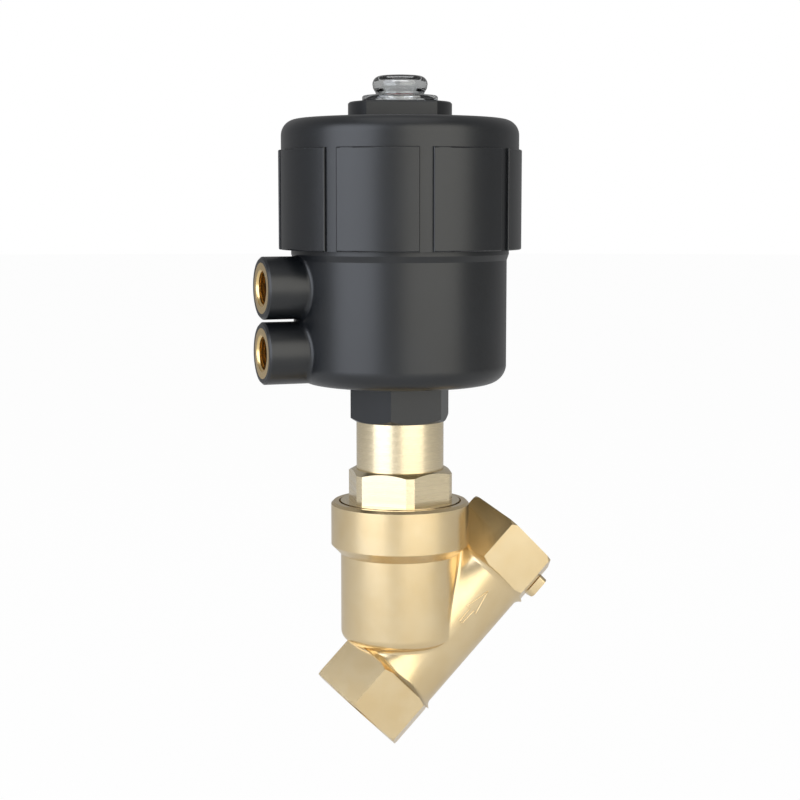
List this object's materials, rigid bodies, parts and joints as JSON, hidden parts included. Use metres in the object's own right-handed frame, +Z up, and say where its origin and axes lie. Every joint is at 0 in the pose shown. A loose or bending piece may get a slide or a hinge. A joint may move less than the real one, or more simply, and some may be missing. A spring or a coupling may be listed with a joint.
{
  "type": "pneumatic angle seat valve",
  "caption": "Spring-closed piston-actuated angle seat valve: brass Y body with female threaded ends, black plastic actuator with pilot air ports and a clear position indicator.",
  "frame": {"origin": "the point where the stem axis crosses the pipe axis", "axes": "+Z up the stem axis towards the indicator cap, +X horizontal towards the outlet side, so the pipe runs along (0.7071, 0, 0.7071) from inlet to outlet, Y across the valve"},
  "size_m": [0.0824, 0.0644, 0.1808],
  "materials": {
    "cast_brass": "cast and blasted, satin",
    "turned_brass": "turned, satin",
    "insert_brass": "turned, bright",
    "black_plastic": "moulded, satin",
    "clear_plastic": "clear, moulded",
    "stainless": "turned",
    "spring_steel": "drawn wire",
    "ptfe": "turned, white",
    "rubber": "moulded",
    "indicator_red": "moulded"
  },
  "bodies": {
    "valve": {"valve_body": "cast_brass", "bonnet_seal": "ptfe", "bonnet_nipple": "turned_brass", "packing_support_ring": "turned_brass", "packing_vrings": "ptfe", "packing_pressure_ring": "ptfe", "packing_spring": "spring_steel", "stem_guide_bush": "ptfe", "gland_nut": "turned_brass", "tube_o_ring": "rubber", "housing_snap_ring": "spring_steel"},
    "actuator": {"actuator_housing": "black_plastic", "pilot_insert_lower": "insert_brass", "pilot_insert_upper": "insert_brass", "cover_o_ring": "rubber", "actuator_cover": "black_plastic", "spring_plate": "stainless", "indicator_cap": "clear_plastic", "cap_o_ring": "rubber"},
    "stem": {"spindle": "stainless", "valve_disc": "stainless", "seat_seal": "ptfe", "seal_retainer": "stainless", "disc_screw": "stainless", "disc_pin": "stainless", "piston": "black_plastic", "piston_seal": "rubber", "piston_guide_ring": "ptfe", "piston_washer": "stainless", "piston_nut": "stainless", "indicator_rod": "indicator_red", "outer_return_spring": "spring_steel", "inner_return_spring": "spring_steel"}
  },
  "joints": [
    {"name": "actuator_swivel", "type": "hinge", "parent": "valve", "child": "actuator", "pos_m": [0, 0, 0.0766], "axis": [0, 0, 1], "continuous": true},
    {"name": "stem_stroke", "type": "slide", "parent": "valve", "child": "stem", "axis": [0, 0, 1], "range_m": [0, 0.008], "stiffness_N_per_m": 3000, "springref_m": -0.03, "deforming": ["outer_return_spring", "inner_return_spring"]}
  ]
}
